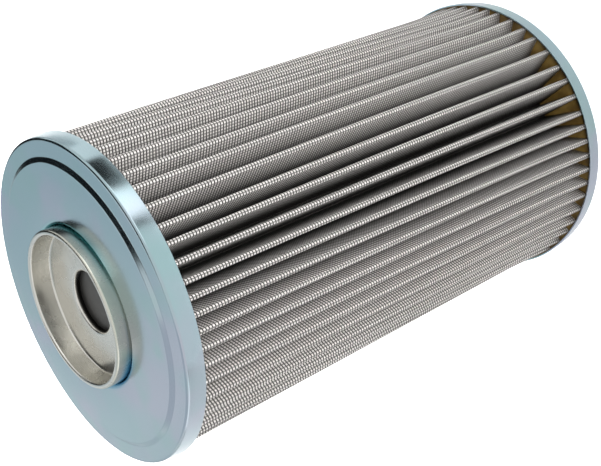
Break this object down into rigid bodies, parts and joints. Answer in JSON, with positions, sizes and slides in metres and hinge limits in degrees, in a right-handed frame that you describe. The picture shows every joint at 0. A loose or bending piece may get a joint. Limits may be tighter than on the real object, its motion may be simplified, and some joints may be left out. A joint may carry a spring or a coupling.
{
  "type": "pleated filter element",
  "caption": "Cylindrical hydraulic filter element: pleated wire-mesh pack between two pressed steel end caps, bypass valve in a raised cup on one cap, sealed outlet in the other.",
  "frame": {"origin": "centre of the open end cap's outer face, which the element stands on", "axes": "+Z along the element's axis, from the outlet towards the closed cap and its valve cup; +X and +Y across"},
  "size_m": [0.15, 0.15, 0.2708],
  "materials": {
    "plated_cap": "bright zinc plate with pale blue passivation",
    "adhesive": "cured amber adhesive",
    "wire_mesh": "woven steel wire mesh over filter media",
    "tinned_steel": "tinned, warm satin",
    "galvanised_steel": "galvanised perforated sheet",
    "dark_steel": "smooth phosphated steel",
    "spring_steel": "oiled spring wire",
    "black_rubber": "moulded rubber"
  },
  "bodies": {
    "element": {"closed_end_cap": "plated_cap", "open_end_cap": "plated_cap", "potting_closed_end": "adhesive", "potting_open_end": "adhesive", "pleat_pack": "wire_mesh", "seam_clip": "tinned_steel", "core_tube": "galvanised_steel", "valve_cup": "tinned_steel", "valve_bridge": "tinned_steel", "valve_spring": "spring_steel", "outlet_grommet": "black_rubber"},
    "valve": {"valve_disc": "dark_steel", "valve_stem": "dark_steel"}
  },
  "joints": [
    {"name": "valve_lift", "type": "slide", "parent": "element", "child": "valve", "axis": [0, 0, -1], "range_m": [0, 0.006], "stiffness_N_per_m": 1500, "springref_m": -0.003, "deforming": ["valve_spring"]}
  ]
}
